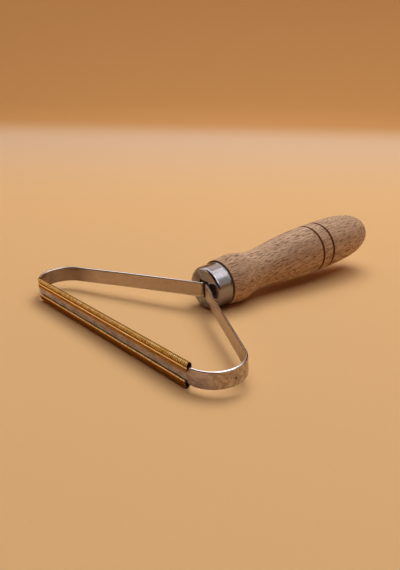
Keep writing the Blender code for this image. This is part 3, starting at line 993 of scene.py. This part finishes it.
def paper_floor():
    """A pale paper floor, flat round the tool and rising in a soft curve far behind it."""
    paper = Finish("pale_paper", Roughness=0.75, Specular_IOR_Level=0.25)
    spot = paper.node("TexCoord", output="Object")
    behind = paper.along(spot, (math.cos(PAPER_RISES), math.sin(PAPER_RISES), 0.0))
    # Painted light on the paper: a bluer tint farther behind the tool, then a darker one farthest behind
    colour = paper.mix(behind.above(*FAR_FROM), PAPER_COLOUR, FAR_PAPER_PAINTED_LIGHT)
    colour = paper.mix(behind.above(*FARTHEST_FROM), colour, FARTHEST_PAPER_PAINTED_SHADE)
    fibres = paper.clouds(spot, 3.0, 0.6, 900.0)
    paper.set(Base_Color=paper.mix(fibres.above(0.5, 0.3) * 0.06, colour, PAPER_FIBRE))
    paper.relief(fibres, 0.05 * MM, 0.3)

    profile = [(radius, 0.0) for radius in FLAT_RINGS]
    centre = (FLAT_REACH, PAPER_CURVE)
    profile += arc(centre, PAPER_CURVE, -math.pi / 2, CURVE_END, PAPER_CURVE_STEPS)
    profile.append((FLAT_REACH + PAPER_CURVE + PAPER_LEAN, PAPER_TOP))
    points, faces = turn(profile, AROUND_PAPER)
    rises = Vector((math.cos(PAPER_RISES), math.sin(PAPER_RISES)))
    lifted = []
    for x, z, y in points:
        facing = rises.dot(Vector((x, y)).normalized()) if z else 0.0
        lifted.append((x, y, z * smooth_share(facing, RISE_FROM, RISE_TO)))
    mesh = bpy.data.meshes.new("paper_floor")
    mesh.from_pydata(lifted, [], faces)
    mesh.shade_smooth()
    mesh.materials.append(paper.material)
    floor = bpy.data.objects.new("paper_floor", mesh)
    bpy.context.scene.collection.objects.link(floor)


def softbox(name, azimuth, elevation, distance, size, power, colour, seen_in_metal):
    """A lamp that faces the tool from a direction in degrees, to light it or to show in its metal."""
    around, above = math.radians(azimuth), math.radians(elevation)
    level = math.cos(above)
    toward = Vector((math.cos(around) * level, math.sin(around) * level, math.sin(above)))
    lamp = bpy.data.lights.new(name, "AREA")
    lamp.shape = "RECTANGLE"
    lamp.size, lamp.size_y = size
    lamp.energy = power
    lamp.color = colour
    box = bpy.data.objects.new(name, lamp)
    box.location = toward * distance
    box.rotation_euler = toward.to_track_quat("Z", "Y").to_euler()
    box.visible_glossy = seen_in_metal
    box.visible_diffuse = not seen_in_metal
    bpy.context.scene.collection.objects.link(box)


def studio_light():
    """Lamps that light the tool, lamps that only show in its metal, and the dark room round it."""
    for lamp in LIGHTING_LAMPS:
        softbox(*lamp, seen_in_metal=False)
    for lamp in METAL_LAMPS:
        softbox(*lamp, seen_in_metal=True)
    world = bpy.data.worlds.new("dark_room")
    world.use_nodes = True
    room = Tree(world.node_tree)
    shade = room.mix(room.node("LightPath", output="Is Glossy Ray"), ROOM_GLOW, ROOM_IN_METAL)

    # Past the paper's far edge the camera sees the paper's own colour
    shade = room.mix(room.node("LightPath", output="Is Camera Ray"), shade, PAPER_COLOUR)
    room.feed(world.node_tree.nodes["Background"].inputs["Color"], shade)
    bpy.context.scene.world = world
    bpy.context.scene.view_settings.view_transform = "Standard"


def place_camera():
    """The camera at the photograph's viewing angle."""
    right = Vector((math.cos(CAMERA_AZIMUTH), math.sin(CAMERA_AZIMUTH), 0.0))
    level = math.cos(CAMERA_ELEVATION)
    back = Vector((right.y * level, -right.x * level, math.sin(CAMERA_ELEVATION)))
    up = back.cross(right)
    roll_cos, roll_sin = math.cos(CAMERA_ROLL), math.sin(CAMERA_ROLL)
    right, up = right * roll_cos + up * roll_sin, up * roll_cos - right * roll_sin
    pose = Matrix((right, up, back)).transposed().to_4x4()
    lens = bpy.data.cameras.new("photo_camera")
    lens.sensor_fit = "HORIZONTAL"
    lens.sensor_width = 36.0
    lens.lens = CAMERA_LENS
    lens.clip_start = 0.01
    camera = bpy.data.objects.new("photo_camera", lens)
    camera.matrix_world = HEAD @ Matrix.Translation(CAMERA_AT) @ pose
    bpy.context.scene.collection.objects.link(camera)
    bpy.context.scene.camera = camera


def dress_adhesive(finish):
    """The CAD plug of adhesive keeps its shape and gets its finish."""
    plug = frame["nodes"]["bore_adhesive"]
    plug.data.materials.clear()
    plug.data.materials.append(finish)


place_camera()
paper_floor()
studio_light()
brass = aged_brass()
make_handle(beech_wood())
make_ferrule(polished_steel())
make_strap(stainless_steel())
make_strip("upper_ribbed_strip", "upper_strip", UPPER_ENDS, False, UPPER_SEED, brass)
make_strip("lower_ribbed_strip", "lower_strip", LOWER_ENDS, True, LOWER_SEED, brass)
dress_adhesive(hardened_adhesive())
